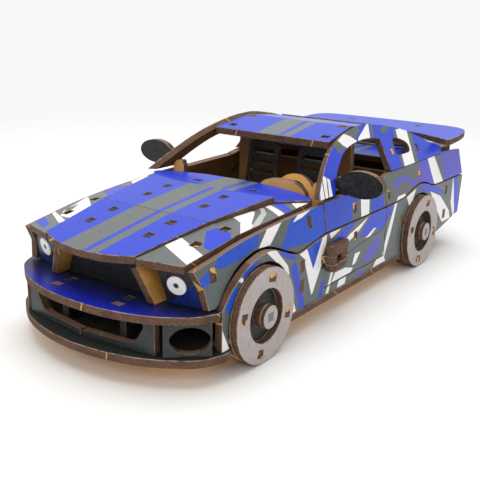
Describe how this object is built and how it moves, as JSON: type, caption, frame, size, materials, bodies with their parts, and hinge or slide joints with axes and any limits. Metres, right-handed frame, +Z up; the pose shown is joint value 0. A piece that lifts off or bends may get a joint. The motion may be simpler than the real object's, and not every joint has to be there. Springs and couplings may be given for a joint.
{
  "type": "wooden 3d jigsaw model",
  "caption": "Muscle car model built from slotted laser-cut wooden boards with a blue and grey camouflage print, turning wheels and opening doors.",
  "frame": {"origin": "on the ground under the middle of the car's length, between its wheels", "axes": "+Z up, the nose towards -Y, the car's own left side towards +X"},
  "size_m": [0.129, 0.2474, 0.0732],
  "materials": {
    "blue_print": "board printed deep blue, semi-gloss, with laser-burnt brown edges",
    "camouflage_print": "board printed with blue, grey and white splinter camouflage, semi-gloss, laser-burnt brown edges",
    "grey_print": "board printed dark grey, semi-gloss, laser-burnt brown edges",
    "bare_board": "bare golden fibreboard, matt, laser-burnt brown edges",
    "wheel_print": "stacked board, outer ring printed pale grey, laser-burnt brown edges"
  },
  "bodies": {
    "car_body": {"floor_plate": "grey_print", "bumper_plate": "blue_print", "grille_plate_left": "grey_print", "grille_plate_right": "grey_print", "fog_plate_left": "grey_print", "fog_plate_right": "grey_print", "grille_back_plate": "grey_print", "grille_cheek_left": "bare_board", "grille_cheek_right": "bare_board", "headlight_plate_left": "blue_print", "headlight_plate_right": "blue_print", "keel_left": "bare_board", "keel_right": "bare_board", "front_bulkhead": "bare_board", "rear_bulkhead": "bare_board", "tail_bulkhead": "bare_board", "hood_front": "blue_print", "hood_rear": "blue_print", "cowl_panel": "blue_print", "fender_top_left": "camouflage_print", "fender_top_right": "camouflage_print", "fender_side_left": "camouflage_print", "fender_side_right": "camouflage_print", "lower_side_left": "camouflage_print", "lower_side_right": "camouflage_print", "quarter_side_left": "camouflage_print", "quarter_side_right": "camouflage_print", "greenhouse_side_left": "camouflage_print", "greenhouse_side_right": "camouflage_print", "roof_front": "blue_print", "roof_rear": "blue_print", "rear_window_frame": "blue_print", "rear_deck": "blue_print", "tail_panel": "grey_print", "wing": "blue_print", "wing_fin_left": "bare_board", "wing_fin_right": "bare_board", "pillar_hoop": "bare_board", "seat_back_left": "grey_print", "seat_back_right": "grey_print", "dashboard": "bare_board", "steering_wheel": "bare_board", "hinge_lug_left": "bare_board", "hinge_lug_right": "bare_board", "hinge_pin_left": "bare_board", "hinge_pin_right": "bare_board"},
    "front_axle_set": {"front_axle": "bare_board", "front_wheel_left": "wheel_print", "front_wheel_right": "wheel_print"},
    "rear_axle_set": {"rear_axle": "bare_board", "rear_wheel_left": "wheel_print", "rear_wheel_right": "wheel_print"},
    "door_left": {"door_upper_left": "camouflage_print", "door_lower_left": "camouflage_print", "door_hinge_bracket_left": "bare_board", "mirror_left": "grey_print"},
    "door_right": {"door_upper_right": "camouflage_print", "door_lower_right": "camouflage_print", "door_hinge_bracket_right": "bare_board", "mirror_right": "grey_print"}
  },
  "joints": [
    {"name": "front_axle_turn", "type": "hinge", "parent": "car_body", "child": "front_axle_set", "pos_m": [0, -0.0763, 0.018], "axis": [1, 0, 0], "continuous": true},
    {"name": "rear_axle_turn", "type": "hinge", "parent": "car_body", "child": "rear_axle_set", "pos_m": [0, 0.0617, 0.018], "axis": [1, 0, 0], "continuous": true},
    {"name": "door_left_hinge", "type": "hinge", "parent": "car_body", "child": "door_left", "pos_m": [0.0498, -0.0309, 0.0275], "axis": [0, 0, -1], "range_deg": [0, 65]},
    {"name": "door_right_hinge", "type": "hinge", "parent": "car_body", "child": "door_right", "pos_m": [-0.0498, -0.0309, 0.0275], "axis": [0, 0, 1], "range_deg": [0, 65]}
  ]
}
